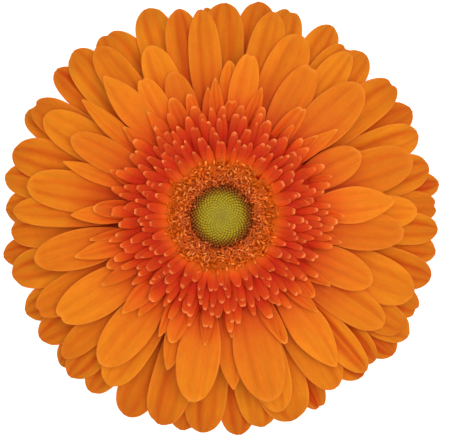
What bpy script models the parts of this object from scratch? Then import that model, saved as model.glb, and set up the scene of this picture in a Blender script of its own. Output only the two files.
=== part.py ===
"""A double gerbera daisy bloom, picked and cut short, lying face up on its cut stem.

Metres, +Z up. The flower's axis is Z, the cut face of the stem is centred on the origin, and +Y is the
top of the bloom as it is seen from the front. The sizes below are millimetres and degrees.
"""

import math
import random

import bmesh
import bpy
from mathutils import Matrix, Vector, geometry

MM = 0.001
SEED = 7
GOLDEN_ANGLE = math.radians(137.508)
GAP = 0.35  # between the pieces that stand on one another

# Stem stub and green cup
STEM_RADIUS = 3.2
STEM_TOP = 3.5
STEM_BEVEL = 0.25
STEM_SIDES = 24
CUP_PROFILE = ((3.4, 3.8), (5.2, 4.6), (8.5, 6.6), (11.3, 9.0), (13.0, 11.2), (13.6, 12.3))
CUP_SIDES = 24
BRACTS_PER_ROW = 14
BRACT_ROWS = (  # the line that each row's bracts follow, as radius and height
    ((4.4, 4.9), (7.2, 5.1), (10.0, 6.5), (12.2, 8.0)),
    ((7.4, 6.6), (10.3, 7.6), (13.0, 9.2), (15.4, 10.5)),
    ((10.6, 9.3), (13.2, 10.2), (16.0, 11.0), (18.6, 11.3)),
)
BRACT_WIDTHS = (2.6, 3.4, 3.9)  # of each row
BRACT_WIDTH_SHARES = (0.8, 1.0, 0.8, 0.2)
BRACT_HALF_DEPTH = 0.4
EDGE_DEPTH_SHARE = 0.4  # how deep a tongue or a bract stays as its width goes to nothing

# Ray florets: straps on level sheets that fan out one above another
ROOT_RADIUS = 13.0
RIM_RADIUS = 54.0
STRAP_DEPTH = 0.7
BACK_LEVELS = (13.4, 14.35, 15.3, 16.25)
MIDDLE_LEVELS = (17.45, 18.4)
FRONT_LEVELS = (19.6, 20.55)
SHORT_LEVELS = (21.5,)
OVERLAP_IGNORED = 0.8  # degrees by which straps of one level may overlap
LOW_SHEET_DROP = 11.3
LOW_SHEET_POWER = 1.6
HIGH_SHEET_RISE = 2.0
HIGH_SHEET_DROP = 9.0
HEAD_RADIUS = 13.9  # of the packed floret bases that each row of straps stands out of
HEAD_SIDES = 24
BACK_HEAD = (12.65, 16.4)  # bottom and top
MIDDLE_HEAD = (16.75, 18.55)
FRONT_HEAD = (18.9, 21.65)
WIDEST_AT = 0.65
CLAW_SHARE = 0.15
TIP_POWER = 3.4
POINT_POWER = 1.6
POINT_SLIMNESS = 0.75
EDGE_LIFT_ROOT = 0.12
EDGE_LIFT_TIP = 0.28
STATIONS = (0.0, 0.33, 0.65, 0.86, 0.97)
NOTCH = (0.985, 0.955)  # how far out the two teeth and the notch between them reach

# Each strap: azimuth anticlockwise from +X, reach of its tip from the axis, greatest width, kind of tip.
# A row goes from its hindmost straps to its foremost.
ROUND, NOTCHED, POINTED = "round", "notched", "pointed"
BACK_RAYS = (
    (60.0, 55.9, 9.0, ROUND),
    (8.8, 55.8, 8.0, ROUND),
    (29.5, 55.3, 9.5, ROUND),
    (334.5, 55.2, 9.5, NOTCHED),
    (321.5, 55.9, 10.0, ROUND),
    (297.0, 54.8, 8.0, NOTCHED),
    (274.5, 55.6, 9.5, ROUND),
    (259.5, 55.2, 9.0, ROUND),
    (244.3, 56.1, 10.5, ROUND),
    (222.5, 55.6, 9.5, ROUND),
    (206.0, 55.3, 9.5, ROUND),
    (190.0, 56.2, 8.5, ROUND),
    (177.5, 54.7, 10.0, ROUND),
    (152.0, 56.1, 9.5, ROUND),
    (138.5, 56.0, 8.5, ROUND),
    (122.3, 55.0, 12.0, NOTCHED),
    (95.0, 53.3, 7.5, NOTCHED),
    (79.5, 55.3, 10.0, ROUND),
    (48.5, 55.0, 10.0, ROUND),
    (350.5, 55.1, 8.5, ROUND),
    (169.5, 55.8, 9.0, ROUND),
    (71.5, 55.3, 10.0, NOTCHED),
    (53.5, 53.5, 9.5, NOTCHED),
    (23.0, 54.0, 9.5, ROUND),
    (2.5, 54.7, 9.0, NOTCHED),
    (327.5, 56.2, 9.5, ROUND),
    (316.5, 53.3, 8.0, ROUND),
    (281.0, 54.4, 10.0, ROUND),
    (233.0, 55.5, 9.0, ROUND),
    (214.0, 55.4, 9.5, ROUND),
    (149.0, 55.5, 9.5, NOTCHED),
    (110.0, 56.0, 10.0, ROUND),
    (37.5, 55.2, 10.0, NOTCHED),
    (13.5, 54.0, 10.0, ROUND),
    (356.3, 54.9, 8.5, ROUND),
    (343.5, 55.2, 9.5, ROUND),
    (328.0, 54.0, 9.0, ROUND),
    (311.0, 53.9, 10.5, ROUND),
    (289.5, 54.8, 12.7, ROUND),
    (265.0, 55.0, 10.5, ROUND),
    (253.5, 55.0, 10.5, ROUND),
    (226.5, 55.9, 9.0, ROUND),
    (195.5, 55.1, 10.5, ROUND),
    (184.0, 53.4, 9.5, ROUND),
    (162.5, 55.3, 10.5, ROUND),
    (132.0, 56.2, 10.0, ROUND),
    (89.5, 54.1, 10.5, ROUND),
)
MIDDLE_RAYS = (
    (102.0, 53.6, 9.5, ROUND),
    (304.0, 52.1, 11.0, ROUND),
    (75.5, 53.4, 9.2, ROUND),
    (52.0, 52.5, 8.4, ROUND),
    (126.5, 53.2, 8.8, ROUND),
    (221.5, 53.6, 7.6, ROUND),
    (178.5, 52.7, 8.0, ROUND),
    (1.5, 49.5, 9.0, ROUND),
    (338.0, 52.4, 11.9, ROUND),
    (313.0, 53.5, 8.0, ROUND),
    (207.0, 52.5, 9.6, NOTCHED),
    (95.5, 52.3, 8.1, ROUND),
    (170.5, 49.7, 10.1, ROUND),
    (150.5, 51.5, 10.0, ROUND),
    (236.0, 51.3, 10.3, ROUND),
    (287.0, 51.5, 10.0, ROUND),
    (66.5, 50.0, 10.5, ROUND),
    (17.0, 50.3, 11.4, ROUND),
    (326.0, 49.3, 9.5, ROUND),
    (113.0, 46.7, 8.7, ROUND),
)
FRONT_RAYS = (
    (354.8, 46.2, 9.6, ROUND),
    (274.0, 43.7, 7.0, POINTED),
    (250.5, 41.0, 6.5, POINTED),
    (161.0, 42.2, 5.0, POINTED),
    (140.0, 45.8, 6.0, POINTED),
    (109.0, 38.5, 7.5, ROUND),
    (87.0, 39.3, 5.0, ROUND),
    (59.0, 44.3, 9.1, NOTCHED),
    (336.0, 41.5, 9.5, ROUND),
    (307.5, 47.7, 9.6, POINTED),
    (193.0, 48.4, 10.0, ROUND),
    (24.5, 38.5, 8.1, ROUND),
    (5.0, 43.8, 9.4, POINTED),
    (43.0, 48.3, 11.6, ROUND),
    (80.0, 41.7, 7.3, NOTCHED),
    (120.0, 40.3, 6.8, NOTCHED),
    (130.0, 46.1, 9.0, POINTED),
    (152.0, 42.8, 8.0, ROUND),
    (179.5, 37.9, 5.8, POINTED),
    (212.0, 48.5, 11.3, NOTCHED),
    (231.0, 48.2, 11.0, ROUND),
    (261.0, 47.3, 11.0, ROUND),
    (285.0, 48.2, 12.3, ROUND),
)
SHORT_RAYS = (
    (53.0, 34.4, 5.0, NOTCHED),
    (37.0, 36.5, 4.0, POINTED),
    (113.0, 32.3, 4.5, ROUND),
    (105.0, 31.8, 3.5, ROUND),
    (96.0, 32.7, 3.5, POINTED),
    (85.0, 29.5, 4.5, NOTCHED),
    (176.5, 32.3, 4.5, ROUND),
    (195.5, 38.3, 5.0, POINTED),
    (203.6, 31.5, 4.0, ROUND),
    (224.3, 34.9, 5.0, POINTED),
    (248.0, 34.2, 5.0, ROUND),
    (297.0, 35.8, 4.0, ROUND),
    (319.0, 30.8, 4.5, ROUND),
)

# Trans florets: short tongues on a low dome, shingled in a spiral from the rim inwards
TRANS_COUNT = 126
TRANS_RIM_RADIUS = 29.5
TRANS_INNER_RADIUS = 15.0
TRANS_RIM_HEIGHT = 22.9
TRANS_TOP_HEIGHT = 27.2
TRANS_DOME_POWER = 1.15
TRANS_CROWDING = 0.95
TRANS_RADIUS_STRAY = 0.7
TRANS_AZIMUTH_STRAY = math.radians(2)
TRANS_WIDTH_STRAY = 0.1
TRANS_REACH = (8.5, 5.5)  # of a tongue, at the rim and at the disc
TRANS_WIDTH = (3.6, 2.7)
TRANS_HALF_DEPTH = 0.4
TRANS_WIDTH_SHARES = (0.4, 1.0, 0.5)
TRANS_STATIONS = (0.0, 0.65, 0.98)
TRANS_ARCH = 0.35
TRANS_CORE_BELOW = 1.6  # how far the head lies under the dome of tips
TRANS_CORE_BOTTOM = 22.05
TRANS_CORE_TOP = 25.85
TRANS_CORE_RADII = (24.0, 20.0, 16.8, 15.2)
TRANS_UNDERSIDE_RADIUS = 22.9
DISC_SEAT = 25.1
DISC_SEAT_RADIUS = 13.25
TRANS_SUNK = 0.4
TRANS_ROOT_RADIUS = 13.5

# Disc: open florets round a cap of buds
DISC_BASE_RADIUS = 12.9
DISC_BASE_EDGE = 0.55
DISC_BASE_RISE = 0.3
OPEN_FLORETS = 62
OPEN_FLORET_RING = (8.9, 12.4)
OPEN_FLORET_SIDES = 5
OPEN_FLORET_RADII = (0.5, 0.9)
OPEN_FLORET_HEIGHTS = (25.7, 27.35)
OPEN_FLORET_DIMPLE = 0.5
OPEN_FLORET_LEAN = math.radians(14)
BUDS = 80
BUD_SPREAD = 0.82
BUD_CAP_RADIUS = 7.9
BUD_CAP_BOTTOM = 26.6
BUD_CAP_EDGE = 0.35
BUD_CAP_RISE = 0.6
BUD_HEIGHT = 0.4
BUD_RADIUS = 0.75
BUD_CAP_SIDES = 24

# Colours, as red, green and blue from 0 to 255, with roughness
FINISHES = {
    "stem": ((132, 152, 84), 0.6),
    "involucre": ((104, 132, 62), 0.65),
    "back_ray_florets": ((214, 104, 26), 0.55),
    "middle_ray_florets": ((222, 112, 30), 0.55),
    "front_ray_florets": ((230, 116, 34), 0.55),
    "trans_florets": ((204, 64, 25), 0.5),
    "disc_florets": ((182, 82, 30), 0.55),
    "disc_buds": ((140, 104, 30), 0.6),
}


def linear(value):
    """A colour value from 0 to 255 as the linear one that a shader takes."""
    share = value / 255
    return share / 12.92 if share <= 0.04045 else ((share + 0.055) / 1.055) ** 2.4


def finish(obj):
    """Gives the object its own material and smooth shading up to a sharp edge."""
    colour, roughness = FINISHES[obj.name]
    material = bpy.data.materials.new(obj.name)
    material.use_nodes = True
    shader = material.node_tree.nodes["Principled BSDF"]
    shader.inputs["Base Color"].default_value = (*map(linear, colour), 1)
    shader.inputs["Roughness"].default_value = roughness
    shader.inputs["Metallic"].default_value = 0
    obj.data.materials.clear()
    obj.data.materials.append(material)
    obj.data.shade_smooth()
    obj.data.set_sharp_from_angle(angle=math.radians(50))


def between(start, end, share):
    return start + (end - start) * share


def placed(radius, height, azimuth, aside=0.0):
    """A point in metres from its distance from the axis, height, azimuth and distance to one side."""
    across, along = math.cos(azimuth), math.sin(azimuth)
    return Vector((radius * across - aside * along, radius * along + aside * across, height)) * MM


def object_of(name, points, faces, collection=None):
    mesh = bpy.data.meshes.new(name)
    mesh.from_pydata([tuple(point) for point in points], [], faces)
    mesh.validate()
    obj = bpy.data.objects.new(name, mesh)
    (collection or bpy.context.scene.collection).objects.link(obj)
    return obj


def loft(name, rings, collection=None):
    """A closed solid through rings of as many points each, with the last ring's middle column at its tip.

    A ring runs over the upper side and back under the lower one, and both sides are split into
    triangles alike.
    """
    count = len(rings[0])
    points = [point for ring in rings for point in ring]
    faces = []
    for ring in range(len(rings) - 1):
        for column in range(count):
            near, far = ring * count, (ring + 1) * count
            after = (column + 1) % count
            if column < count // 2:
                faces.append((near + column, near + after, far + after))
                faces.append((near + column, far + after, far + column))
            else:
                faces.append((near + column, near + after, far + column))
                faces.append((near + after, far + after, far + column))
    faces.append(tuple(reversed(range(count))))
    last = (len(rings) - 1) * count
    for column in range(count // 2 - 1):
        top, below = last + column, last + count - 1 - column
        faces.append((top, top + 1, below - 1))
        faces.append((top, below - 1, below))
    return object_of(name, points, faces, collection)


def turned(name, profile, sides):
    """A solid turned round the axis from its outer profile, bottom to top, with flat ends."""
    points = [
        placed(radius, height, 2 * math.pi * side / sides)
        for radius, height in profile
        for side in range(sides)
    ]
    faces = [tuple(reversed(range(sides)))]
    for level in range(len(profile) - 1):
        for side in range(sides):
            after = (side + 1) % sides
            near, far = level * sides, (level + 1) * sides
            faces.append((near + side, near + after, far + after, far + side))
    top = (len(profile) - 1) * sides
    faces.append(tuple(range(top, top + sides)))
    return object_of(name, points, faces)


def joined(body, make_repeats):
    """Joins what make_repeats puts in a collection to the body, in one solid."""
    repeats = bpy.data.collections.new(body.name + "_repeats")
    bpy.context.scene.collection.children.link(repeats)
    make_repeats(repeats)
    union = body.modifiers.new("join", "BOOLEAN")
    union.operation = "UNION"
    union.operand_type = "COLLECTION"
    union.collection = repeats
    union.solver = "MANIFOLD"
    bpy.context.view_layer.objects.active = body
    bpy.ops.object.modifier_apply(modifier=union.name)
    for repeat in list(repeats.objects):
        bpy.data.objects.remove(repeat)
    bpy.data.collections.remove(repeats)
    finish(body)
    return body


def width_share(along, tip):
    """How wide a strap is at a place along it, from 0 at the root to 1 at the tip."""
    if along < WIDEST_AT:
        return CLAW_SHARE + (1 - CLAW_SHARE) * math.sin(math.pi / 2 * along / WIDEST_AT)
    beyond = (along - WIDEST_AT) / (1 - WIDEST_AT)
    if tip == POINTED:
        return max(0.0, 1 - beyond**POINT_POWER) ** POINT_SLIMNESS
    return math.sqrt(max(0.0, 1 - beyond**TIP_POWER))


def sheet_height(level, radius):
    """The upper side of a strap whose root is at this level, at a distance from the axis."""
    out = (radius - ROOT_RADIUS) / (RIM_RADIUS - ROOT_RADIUS)
    lowest, highest = BACK_LEVELS[0], SHORT_LEVELS[-1]
    low = lowest - LOW_SHEET_DROP * out**LOW_SHEET_POWER
    high = highest + HIGH_SHEET_RISE * out - HIGH_SHEET_DROP * out**2
    return between(low, high, (level - lowest) / (highest - lowest))


def half_angle(reach, width):
    """Half of the widest angle that a strap fills, seen from the axis."""
    length = reach - ROOT_RADIUS
    halves = [
        width_share(station, ROUND) * width / 2 / (ROOT_RADIUS + station * length) for station in STATIONS
    ]
    return math.degrees(max(halves))


def stacked(rays, levels):
    """Each strap with its level: the lowest one above all the straps before it that it overlaps."""
    found = []
    ranks = []
    for azimuth, reach, width, tip in rays:
        half = half_angle(reach, width)
        rank = 0
        for (other, other_half), other_rank in ranks:
            apart = abs((azimuth - other + 180) % 360 - 180)
            if half + other_half - apart > OVERLAP_IGNORED:
                rank = max(rank, other_rank + 1)
        rank = min(rank, len(levels) - 1)
        ranks.append(((azimuth, half), rank))
        found.append((azimuth, reach, width, tip, levels[rank]))
    return found


def strap(collection, azimuth, reach, width, tip, level):
    """One ray floret: a thin blade whose edges lift a little."""
    length = reach - ROOT_RADIUS
    turn = math.radians(azimuth)
    rings = []
    for station in STATIONS:
        last = station == STATIONS[-1]
        half = width_share(station, tip) * width / 2
        lift = EDGE_LIFT_ROOT + EDGE_LIFT_TIP * station
        sides, middle = station, station
        if last:
            sides, middle = NOTCH if tip == NOTCHED else (station, 1.0)
        upper, lower = [], []
        for aside, along in ((half, sides), (0.0, middle), (-half, sides)):
            radius = ROOT_RADIUS + along * length
            height = sheet_height(level, radius) + (lift if aside else 0.0)
            upper.append(placed(radius, height, turn, aside))
            lower.append(placed(radius, height - STRAP_DEPTH, turn, aside))
        rings.append(upper + lower[::-1])
    return loft("strap", rings, collection)


def make_rays(name, heights, rows):
    """A row of ray florets that stand out of their packed bases."""
    head = turned(name, [(HEAD_RADIUS, height) for height in heights], HEAD_SIDES)

    def straps(collection):
        for rays, levels in rows:
            for ray in stacked(rays, levels):
                strap(collection, *ray)

    return joined(head, straps)


def prism(collection, line, widths, half_depth, azimuth):
    """A tapered tongue of four sides along a line of radius and height pairs."""
    rings = []
    for (radius, height), width in zip(line, widths):
        depth = half_depth * min(1.0, EDGE_DEPTH_SHARE + width / max(widths))
        rings.append(
            [
                placed(radius, height, azimuth, width / 2),
                placed(radius, height + depth, azimuth),
                placed(radius, height, azimuth, -width / 2),
                placed(radius, height - depth, azimuth),
            ]
        )
    return loft("tongue", rings, collection)


def make_stem():
    profile = (
        (STEM_RADIUS - STEM_BEVEL, 0.0),
        (STEM_RADIUS, STEM_BEVEL),
        (STEM_RADIUS, STEM_TOP - STEM_BEVEL),
        (STEM_RADIUS - STEM_BEVEL, STEM_TOP),
    )
    stem = turned("stem", profile, STEM_SIDES)
    finish(stem)
    return stem


def make_involucre():
    cup = turned("involucre", CUP_PROFILE, CUP_SIDES)

    def bracts(collection):
        for row, (line, width) in enumerate(zip(BRACT_ROWS, BRACT_WIDTHS)):
            widths = [width * share for share in BRACT_WIDTH_SHARES]
            for count in range(BRACTS_PER_ROW):
                azimuth = 2 * math.pi * (count + row / 2) / BRACTS_PER_ROW
                prism(collection, line, widths, BRACT_HALF_DEPTH, azimuth)

    return joined(cup, bracts)


def dome_height(radius):
    """The height of the trans florets' tips at a distance from the axis."""
    out = (radius - TRANS_INNER_RADIUS) / (TRANS_RIM_RADIUS - TRANS_INNER_RADIUS)
    return TRANS_TOP_HEIGHT - (TRANS_TOP_HEIGHT - TRANS_RIM_HEIGHT) * max(0.0, out) ** TRANS_DOME_POWER


def core_height(radius):
    return max(TRANS_CORE_BOTTOM, min(TRANS_CORE_TOP, dome_height(radius) - TRANS_CORE_BELOW))


def trans_tongues():
    """Azimuth, tip radius, reach and width of each trans floret, from the rim of the dome inwards."""
    draw = random.Random(SEED)
    tongues = []
    for count in range(TRANS_COUNT):
        inwards = count / (TRANS_COUNT - 1)
        radius = between(TRANS_RIM_RADIUS, TRANS_INNER_RADIUS, inwards**TRANS_CROWDING)
        radius += TRANS_RADIUS_STRAY * draw.uniform(-1, 1) * math.sin(math.pi * inwards)
        azimuth = count * GOLDEN_ANGLE + TRANS_AZIMUTH_STRAY * draw.uniform(-1, 1)
        width = between(*TRANS_WIDTH, inwards) * (1 + TRANS_WIDTH_STRAY * draw.uniform(-1, 1))
        tongues.append((azimuth, radius, between(*TRANS_REACH, inwards), width))
    return tongues


def make_trans_florets():
    profile = [(TRANS_UNDERSIDE_RADIUS, TRANS_CORE_BOTTOM)]
    profile += [(radius, core_height(radius)) for radius in (*TRANS_CORE_RADII, DISC_SEAT_RADIUS)]
    profile += [(DISC_SEAT_RADIUS, DISC_SEAT)]
    head = turned("trans_florets", profile, HEAD_SIDES)

    def tongues(collection):
        for azimuth, tip_radius, reach, width in trans_tongues():
            root_radius = max(TRANS_ROOT_RADIUS, tip_radius - reach)
            root_height = max(core_height(root_radius) - TRANS_SUNK, TRANS_CORE_BOTTOM + TRANS_SUNK)
            line = []
            for station in TRANS_STATIONS:
                height = between(root_height, dome_height(tip_radius), station)
                height += TRANS_ARCH * 4 * station * (1 - station)
                line.append((between(root_radius, tip_radius, station), height))
            widths = [width * share for share in TRANS_WIDTH_SHARES]
            prism(collection, line, widths, TRANS_HALF_DEPTH, azimuth)

    return joined(head, tongues)


def open_floret(collection, radius, azimuth):
    """A flared cup with a dimple, leaning outwards."""
    low, high = OPEN_FLORET_HEIGHTS
    lean = Matrix.Rotation(OPEN_FLORET_LEAN, 4, placed(0, 0, azimuth, 1).normalized())
    foot = placed(radius, low, azimuth)
    points = []
    for share, height in zip(OPEN_FLORET_RADII, (0.0, high - low)):
        for side in range(OPEN_FLORET_SIDES):
            points.append(placed(share, height, azimuth + 2 * math.pi * side / OPEN_FLORET_SIDES))
    points.append(placed(0, high - low - OPEN_FLORET_DIMPLE, 0))
    faces = [tuple(reversed(range(OPEN_FLORET_SIDES)))]
    for side in range(OPEN_FLORET_SIDES):
        after = (side + 1) % OPEN_FLORET_SIDES
        near, far = OPEN_FLORET_SIDES + side, OPEN_FLORET_SIDES + after
        faces.append((side, after, far, near))
        faces.append((near, far, 2 * OPEN_FLORET_SIDES))
    return object_of("floret", [foot + lean @ point for point in points], faces, collection)


def make_disc_florets():
    bottom = DISC_SEAT + GAP
    edge = bottom + DISC_BASE_EDGE
    profile = (
        (DISC_BASE_RADIUS, bottom),
        (DISC_BASE_RADIUS, edge),
        (OPEN_FLORET_RING[0], edge + DISC_BASE_RISE),
    )
    base = turned("disc_florets", profile, HEAD_SIDES)

    def florets(collection):
        inner, outer = OPEN_FLORET_RING
        for count in range(OPEN_FLORETS):
            share = (count + 0.5) / OPEN_FLORETS
            radius = math.sqrt(inner**2 + (outer**2 - inner**2) * share)
            open_floret(collection, radius, count * GOLDEN_ANGLE)

    return joined(base, florets)


def make_disc_buds():
    """A low cap with a spiral of buds raised on it."""
    centres = [
        Vector((BUD_SPREAD * math.sqrt(count + 0.5), 0)) @ Matrix.Rotation(count * GOLDEN_ANGLE, 2)
        for count in range(BUDS)
    ]
    rim = [
        Vector((BUD_CAP_RADIUS, 0)) @ Matrix.Rotation(2 * math.pi * side / BUD_CAP_SIDES, 2)
        for side in range(BUD_CAP_SIDES)
    ]
    places, _, triangles, *_ = geometry.delaunay_2d_cdt(centres + rim, [], [], 0, 1e-6)
    grid = bmesh.new()
    corners = [grid.verts.new((place.x, place.y, 0)) for place in places]
    for triangle in triangles:
        grid.faces.new([corners[corner] for corner in triangle])
    bmesh.ops.subdivide_edges(grid, edges=grid.edges, cuts=1, use_grid_fill=True)
    for corner in grid.verts:
        out = corner.co.xy.length / BUD_CAP_RADIUS
        near = min((corner.co.xy - centre).length for centre in centres) / BUD_RADIUS
        cap = BUD_CAP_BOTTOM + BUD_CAP_EDGE + BUD_CAP_RISE * (1 - min(1.0, out) ** 2)
        corner.co.z = cap + BUD_HEIGHT * max(0.0, 1 - near**2)
    edges = [edge for edge in grid.edges if edge.is_boundary]
    skirt = bmesh.ops.extrude_edge_only(grid, edges=edges)["geom"]
    for corner in skirt:
        if isinstance(corner, bmesh.types.BMVert):
            corner.co.z = BUD_CAP_BOTTOM
    bmesh.ops.holes_fill(grid, edges=[edge for edge in grid.edges if edge.is_boundary], sides=0)
    bmesh.ops.scale(grid, vec=(MM, MM, MM), verts=grid.verts)
    bmesh.ops.recalc_face_normals(grid, faces=grid.faces)
    mesh = bpy.data.meshes.new("disc_buds")
    grid.to_mesh(mesh)
    grid.free()
    buds = bpy.data.objects.new("disc_buds", mesh)
    bpy.context.scene.collection.objects.link(buds)
    finish(buds)
    return buds


def main():
    for obj in list(bpy.data.objects):
        bpy.data.objects.remove(obj)
    make_stem()
    make_involucre()
    make_rays("back_ray_florets", BACK_HEAD, ((BACK_RAYS, BACK_LEVELS),))
    make_rays("middle_ray_florets", MIDDLE_HEAD, ((MIDDLE_RAYS, MIDDLE_LEVELS),))
    make_rays("front_ray_florets", FRONT_HEAD, ((FRONT_RAYS, FRONT_LEVELS), (SHORT_RAYS, SHORT_LEVELS)))
    make_trans_florets()
    make_disc_florets()
    make_disc_buds()


main()
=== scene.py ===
"""The looks of a double gerbera daisy bloom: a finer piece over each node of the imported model.

Metres, +Z up, in the frame of the part. The sizes below are millimetres and degrees, and the tables and
rules that place the florets are those of the part's own source. Colours go from 0 to 255.
"""

import math
import random
from typing import NamedTuple

import bpy
from mathutils import Matrix, Vector, noise


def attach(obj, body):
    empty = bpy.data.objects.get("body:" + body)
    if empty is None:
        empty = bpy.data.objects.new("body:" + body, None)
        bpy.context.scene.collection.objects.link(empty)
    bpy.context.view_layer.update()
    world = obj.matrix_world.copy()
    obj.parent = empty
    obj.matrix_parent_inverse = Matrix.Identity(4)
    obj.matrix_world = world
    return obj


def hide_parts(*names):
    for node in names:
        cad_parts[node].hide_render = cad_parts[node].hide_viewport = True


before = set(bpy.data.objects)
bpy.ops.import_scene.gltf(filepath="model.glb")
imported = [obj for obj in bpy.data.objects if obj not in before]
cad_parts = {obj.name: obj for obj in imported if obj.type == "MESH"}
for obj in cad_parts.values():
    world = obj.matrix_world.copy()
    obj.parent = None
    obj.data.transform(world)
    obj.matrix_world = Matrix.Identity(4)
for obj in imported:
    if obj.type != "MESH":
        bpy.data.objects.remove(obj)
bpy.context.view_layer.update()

MM = 0.001
SEED = 7
GOLDEN_ANGLE = math.radians(137.508)
GAP = 0.35  # between the nodes that stand on one another

# Stem stub and green cup
STEM_RADIUS = 3.2
STEM_TOP = 3.5
STEM_BEVEL = 0.25
STEM_RIBS = 11
STEM_RIB_HEIGHT = 0.14
STEM_SIDES = 132
PITH_RADIUS = 1.9
PITH_RECESS = 0.18
PITH_RIM = 0.25
CUP_PROFILE = ((3.4, 3.8), (5.2, 4.6), (8.5, 6.6), (11.3, 9.0), (13.0, 11.2), (13.6, 12.3))
CUP_SIDES = 84
CUP_LEVELS = 16
CUP_INSET = 0.15
CUP_LUMPS = 0.15  # height of the swellings under the bracts
BRACTS_PER_ROW = 14
BRACT_ROWS = (  # the line that each row's bracts follow, as radius and height
    ((4.4, 4.9), (7.2, 5.1), (10.0, 6.5), (12.2, 8.0)),
    ((7.4, 6.6), (10.3, 7.6), (13.0, 9.2), (15.4, 10.5)),
    ((10.6, 9.3), (13.2, 10.2), (16.0, 11.0), (18.6, 11.3)),
)
BRACT_WIDTHS = (2.6, 3.4, 3.9)  # of each row
BRACT_WIDTH_SHARES = ((0.85,), (1.0,), (0.62,), (0.06,))  # from its root to its tip
BRACT_DEPTH = 0.5
BRACT_MIDRIB = 0.22
BRACT_STATIONS = 18
BRACT_COLUMNS = 9
BRACT_HOLLOW = 0.25
BRACT_RANGES = ((-1, 1), (-0.25, 0.25), (-0.4, 0.4))  # of the tone, lift and swing

# Ray florets: straps on level sheets that fan out one above another
ROOT_RADIUS = 13.0
RIM_RADIUS = 54.0
PETAL_DEPTH = 0.38  # thinner than the part's straps, whose upper side the petals keep
PETAL_EDGE_DEPTH = 0.16
BACK_LEVELS = (13.4, 14.35, 15.3, 16.25)
MIDDLE_LEVELS = (17.45, 18.4)
FRONT_LEVELS = (19.6, 20.55)
SHORT_LEVELS = (21.5,)
OVERLAP_IGNORED = 0.8  # degrees by which straps of one level may overlap
LOW_SHEET_DROP = 11.3
LOW_SHEET_POWER = 1.6
HIGH_SHEET_RISE = 2.0
HIGH_SHEET_DROP = 9.0
HEAD_RADIUS = 13.9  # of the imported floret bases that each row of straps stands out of
HEAD_TUBES = 60
HEAD_SIDES = 360
HEAD_TUBE_DEPTH = 0.35
HEAD_SHADE = 0.2
BACK_HEAD = (12.65, 16.4)  # bottom and top
MIDDLE_HEAD = (16.75, 18.55)
FRONT_HEAD = (18.9, 21.65)
WIDEST_AT = 0.65
CLAW_SHARE = 0.15  # of the width, at the root
TIP_POWER = 3.4
POINT_POWER = 1.6
POINT_SLIMNESS = 0.75
MEASURED_AT = (0.0, 0.33, 0.65, 0.86, 0.97)  # places that tell how wide an angle a strap fills
EDGE_LIFT_ROOT = 0.12
EDGE_LIFT_TIP = 0.28
NOTCH_DEPTH = 0.7
NOTCH_STRAY = 0.08
TEETH_AT = 0.33  # of the half width, on both sides
TOOTH_STRAY = 0.06
TOOTH_DEPTHS = (0.0, 0.28)
TOOTH_WIDTH = 0.19
TEETH_FROM = 0.86
SIDE_STATIONS = 15
TIP_STATIONS = 14
TIP_END = 0.9985
PETAL_COLUMNS = 19
GROOVE_AT = 0.34
GROOVE_STRAY = 0.09
GROOVE_WIDTH = 0.15
GROOVE_DEPTHS = (0.35, 0.12)  # the most of a side groove's and of the middle one's
GROOVE_SHARES = (0.25, 1.0)  # of the most
CREASE_DEPTH = 0.65
# painted shade along the middle of a creased petal
CREASE_SHADE = 0.15
CREVICE_REACH = 4.0  # of the painted shade, redder, between petals that lie over one another
VEIN_RIPPLE = 0.035
VEINS_ACROSS = 9
PETAL_RANGES = (  # what is drawn for each petal
    (-0.5, 0.5),  # slant of the tip's end
    (-0.15, 0.25),  # rise of both sides from the middle line
    (-0.04, 0.04),  # roll
    (-0.5, 0.3),  # rise that grows from the root to the tip
    (-0.3, 0.45),  # rise of the tip alone
    (-0.5, 0.5),  # sideways bend
)
PETAL_CURL_FROM = 0.82
PETAL_WAVE = 0.22
PETAL_WAVE_SCALES = (0.11, 0.16, 5.3)
EDGE_WAVE = 0.12
EDGE_WAVE_SCALES = (0.35, 1.0, 3.1)
EDGE_PAINTED_HIGHLIGHT = 0.3
RED_ROW_SHADE = 0.3
RED_ROW_SHIFT = 0.45  # of the places along, towards the redder colours near the root
RUFF_SHADE_RADII = (26, 42)  # where the painted shade near the ruff fades
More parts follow.
